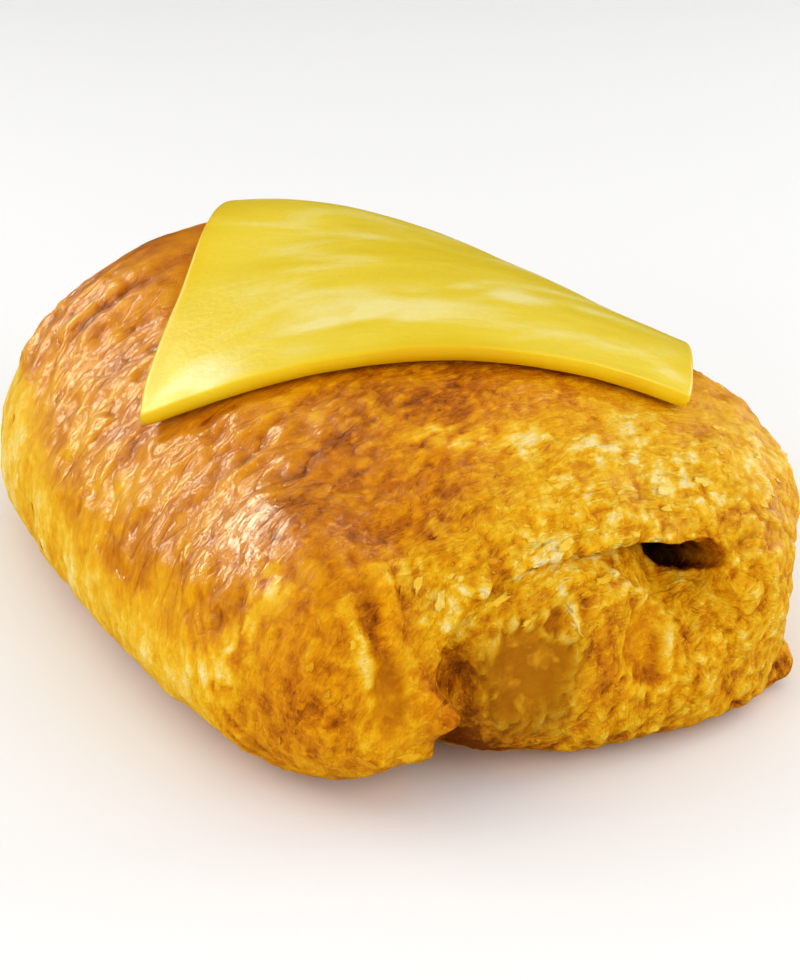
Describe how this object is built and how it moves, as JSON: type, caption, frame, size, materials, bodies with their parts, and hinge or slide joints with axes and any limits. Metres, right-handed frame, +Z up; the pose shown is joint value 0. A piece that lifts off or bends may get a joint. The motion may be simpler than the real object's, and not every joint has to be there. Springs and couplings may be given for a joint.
{
  "type": "sausage roll",
  "caption": "Rolled puff-pastry sausage roll, oval and flat-bottomed, its coil open at one end, with a square cheese slice draped askew over the top.",
  "frame": {"origin": "middle of the bounding box in plan, on the surface that the roll rests on", "axes": "+Z up, +Y along the roll towards its closed far end, +X across it to the right as seen from the open end"},
  "size_m": [0.108, 0.152, 0.0539],
  "materials": {
    "pastry": "baked puff pastry: glazed golden brown on top, paler on the flanks, flaky where the layers show",
    "cheese": "soft processed cheese, smooth with a faint sheen"
  },
  "bodies": {
    "root": {"pastry_roll": "pastry", "cheese_slice": "cheese"}
  },
  "joints": []
}
